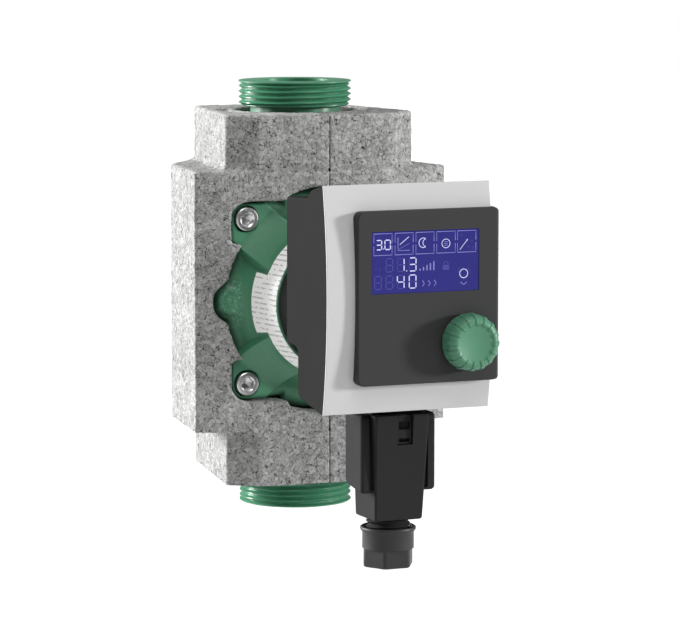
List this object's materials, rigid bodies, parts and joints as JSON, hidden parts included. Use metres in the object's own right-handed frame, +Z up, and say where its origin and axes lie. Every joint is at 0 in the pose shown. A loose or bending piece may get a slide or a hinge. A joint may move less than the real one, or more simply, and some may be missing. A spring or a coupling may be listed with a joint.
{
  "type": "circulator pump",
  "caption": "Wet-rotor heating circulator: threaded vertical ports, canned motor, module with display and press-and-turn knob, pull-off power connector, foam insulation halves.",
  "frame": {"origin": "centre of the lower port's end face", "axes": "+Z up the pipe axis to the upper port, motor and display along -Y, +X to the right of the display"},
  "size_m": [0.1136, 0.1801, 0.1918],
  "materials": {
    "cast_green": "coated casting, satin",
    "shell_green": "painted casting, satin",
    "steel": "satin stainless steel",
    "screw_steel": "zinc plated",
    "rubber_black": "matte",
    "impeller_plastic": "glass filled",
    "magnet": "ground ferrite",
    "carbon": "fine ground carbon",
    "core_steel": "laminated",
    "copper": "enamelled copper wire",
    "label_white": "printed film, blank",
    "module_dark": "fine moulded texture",
    "cover_grey": "light grey, fine moulded texture",
    "panel_dark": "fine moulded texture",
    "display_blue": "glossy window",
    "display_frame": "matte",
    "board_green": "solder mask",
    "board_parts": "matte",
    "spacer_white": "nylon",
    "knob_green": "satin moulded",
    "plug_dark": "fine moulded texture",
    "contact_brass": "tinned brass",
    "carrier_grey": "matte",
    "seal_red": "silicone",
    "foam_grey": "expanded bead foam"
  },
  "bodies": {
    "pump": {"pump_housing": "cast_green", "housing_seal": "rubber_black", "wear_ring": "steel", "front_bearing": "carbon", "rear_bearing": "carbon", "bearing_plate": "steel", "rotor_can": "steel", "stator_core": "core_steel", "stator_windings": "copper", "motor_leads": "copper", "motor_housing": "shell_green", "type_label": "label_white", "flange_screws": "screw_steel", "module_screws": "screw_steel", "module_base": "module_dark", "neck_seal": "rubber_black", "circuit_board": "board_green", "board_components": "board_parts", "board_screws": "screw_steel", "board_spacers": "spacer_white", "power_socket": "plug_dark", "socket_pins": "contact_brass", "display_board": "board_green", "lcd_module": "display_frame", "lcd_window": "display_blue", "encoder_body": "board_parts", "switch_dome": "steel", "control_panel": "panel_dark", "module_cover": "cover_grey"},
    "rotor": {"impeller": "impeller_plastic", "shaft": "steel", "rotor_magnet": "magnet", "rotor_sleeve": "steel", "thrust_washer": "carbon"},
    "press": {"press_plunger": "spacer_white"},
    "knob": {"knob": "knob_green", "encoder_shaft": "steel"},
    "connector": {"connector_body": "plug_dark", "contact_carrier": "carrier_grey", "connector_contacts": "contact_brass", "connector_seal": "seal_red", "cable_seal": "rubber_black"},
    "latch": {"latch_tab": "plug_dark"},
    "gland_ring": {"thrust_ring": "spacer_white"},
    "gland_nut": {"gland_nut": "plug_dark"},
    "insulation_left": {"insulation_left": "foam_grey"},
    "insulation_right": {"insulation_right": "foam_grey"}
  },
  "joints": [
    {"name": "rotor_spin", "type": "hinge", "parent": "pump", "child": "rotor", "pos_m": [0, -0.05, 0.09], "axis": [0, -1, 0], "continuous": true},
    {"name": "knob_press", "type": "slide", "parent": "pump", "child": "press", "axis": [0, 1, 0], "range_m": [0, 0.0007], "stiffness_N_per_m": 4000, "springref_m": -0.0007},
    {"name": "knob_turn", "type": "hinge", "parent": "press", "child": "knob", "pos_m": [0.0229, -0.13, 0.0815], "axis": [0, -1, 0], "continuous": true},
    {"name": "connector_pull", "type": "slide", "parent": "pump", "child": "connector", "axis": [0, 0, -1], "range_m": [0, 0.022]},
    {"name": "latch_press", "type": "hinge", "parent": "connector", "child": "latch", "pos_m": [0.0015, -0.112, 0.0398], "axis": [1, 0, 0], "range_deg": [0, 9], "stiffness_Nm_per_rad": 0.02},
    {"name": "gland_travel", "type": "slide", "parent": "connector", "child": "gland_ring", "axis": [0, 0, 1], "range_m": [-0.0046, 0]},
    {"name": "gland_turn", "type": "hinge", "parent": "gland_ring", "child": "gland_nut", "pos_m": [0, -0.1, -0.0118], "axis": [0, 0, 1], "range_deg": [-720, 0]},
    {"name": "insulation_left_off", "type": "slide", "parent": "pump", "child": "insulation_left", "axis": [-1, 0, 0], "range_m": [0, 0.07]},
    {"name": "insulation_right_off", "type": "slide", "parent": "pump", "child": "insulation_right", "axis": [1, 0, 0], "range_m": [0, 0.07]}
  ],
  "couplings": [
    {"joint": "gland_turn", "follows": "gland_travel", "rad_per_m": 2731.8}
  ]
}
